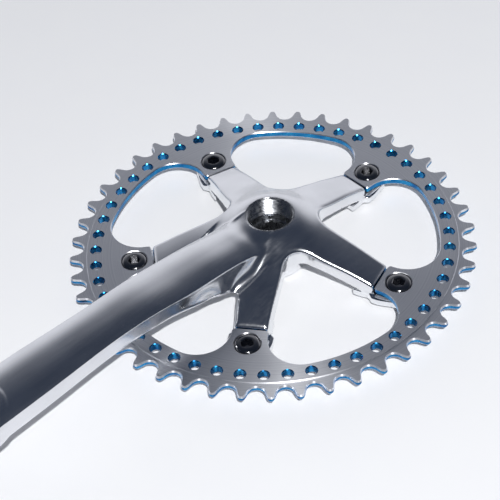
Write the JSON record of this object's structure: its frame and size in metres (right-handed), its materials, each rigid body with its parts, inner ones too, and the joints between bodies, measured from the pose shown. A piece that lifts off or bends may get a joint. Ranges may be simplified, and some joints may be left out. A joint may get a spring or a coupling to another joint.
{
  "type": "bicycle crankset",
  "caption": "Drive-side crank arm forged with its spider, carrying a drilled toothed chainring held by socket-head bolts and sleeve nuts.",
  "frame": {"origin": "on the axle axis, in the plane of the boss's inboard face, where the spindle enters", "axes": "+Z along the axle axis, pointing outboard, away from the bicycle; -Y along the crank arm, towards the pedal eye; +X completes the right-handed frame"},
  "size_m": [0.1878, 0.2788, 0.0364],
  "materials": {
    "forged_aluminium": "satin anodised on the outboard face, mirror polished on the side walls",
    "ring_aluminium": "finely turned bare faces, with deep blue anodising left on the drilled and cut walls",
    "bolt_steel": "polished",
    "nut_steel": "polished"
  },
  "bodies": {
    "root": {"crank_arm": "forged_aluminium", "chainring": "ring_aluminium", "chainring_bolt_1": "bolt_steel", "chainring_bolt_2": "bolt_steel", "chainring_bolt_3": "bolt_steel", "chainring_bolt_4": "bolt_steel", "chainring_bolt_5": "bolt_steel", "chainring_nut_1": "nut_steel", "chainring_nut_2": "nut_steel", "chainring_nut_3": "nut_steel", "chainring_nut_4": "nut_steel", "chainring_nut_5": "nut_steel"}
  },
  "joints": []
}
